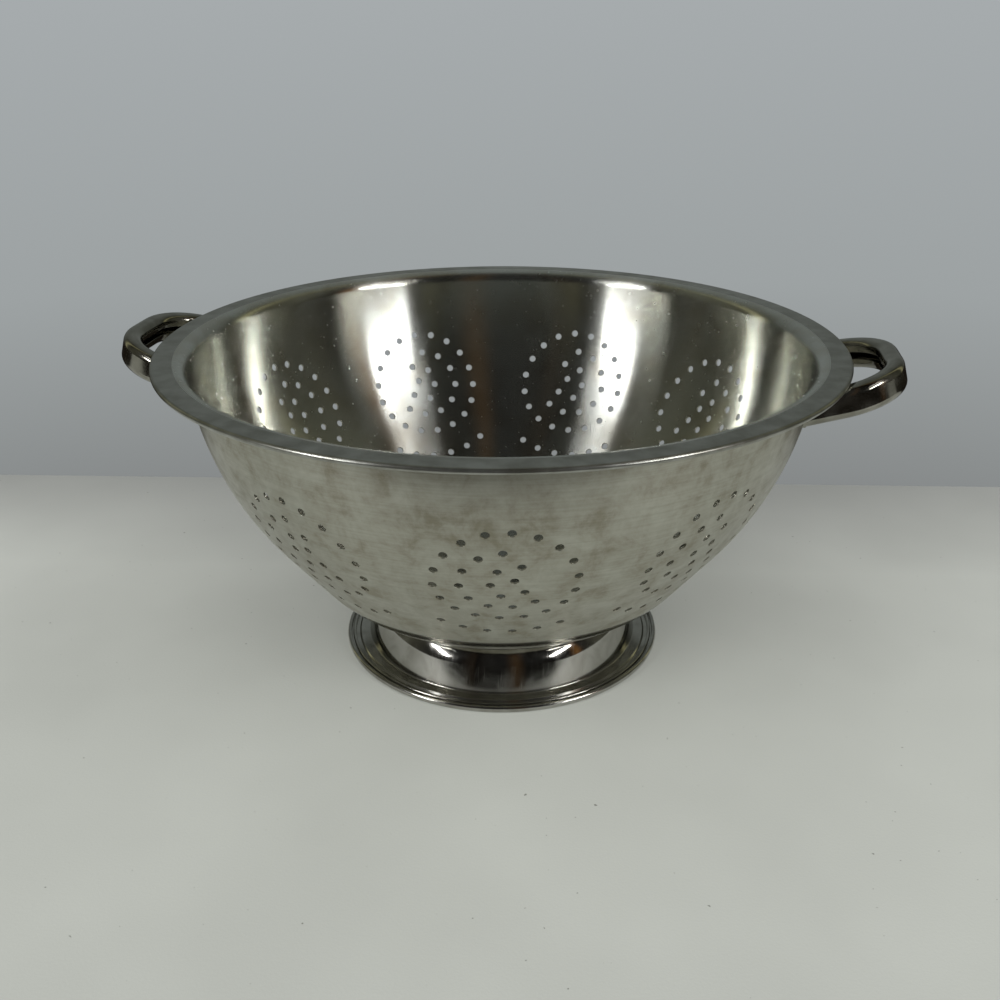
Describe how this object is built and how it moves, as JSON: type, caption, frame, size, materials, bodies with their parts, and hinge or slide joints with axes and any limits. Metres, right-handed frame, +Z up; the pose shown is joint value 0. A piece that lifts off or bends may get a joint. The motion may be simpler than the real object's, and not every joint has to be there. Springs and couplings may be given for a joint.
{
  "type": "colander",
  "caption": "Free-standing stainless steel colander: deep perforated bowl with a flat lip, a pressed foot ring and two hollow loop handles under the lip",
  "frame": {"origin": "Centre of the circle that the foot ring rests on, at the height of the table", "axes": "+Z up along the bowl's axis; +X from the axis to the middle of the right handle; +Y away from the side that the picture shows nearest"},
  "size_m": [0.334, 0.29, 0.143],
  "materials": {
    "satin_steel": "satin",
    "polished_steel": "polished"
  },
  "bodies": {
    "root": {"bowl": "satin_steel", "foot_ring": "polished_steel", "handle_left": "polished_steel", "handle_right": "polished_steel"}
  },
  "joints": []
}
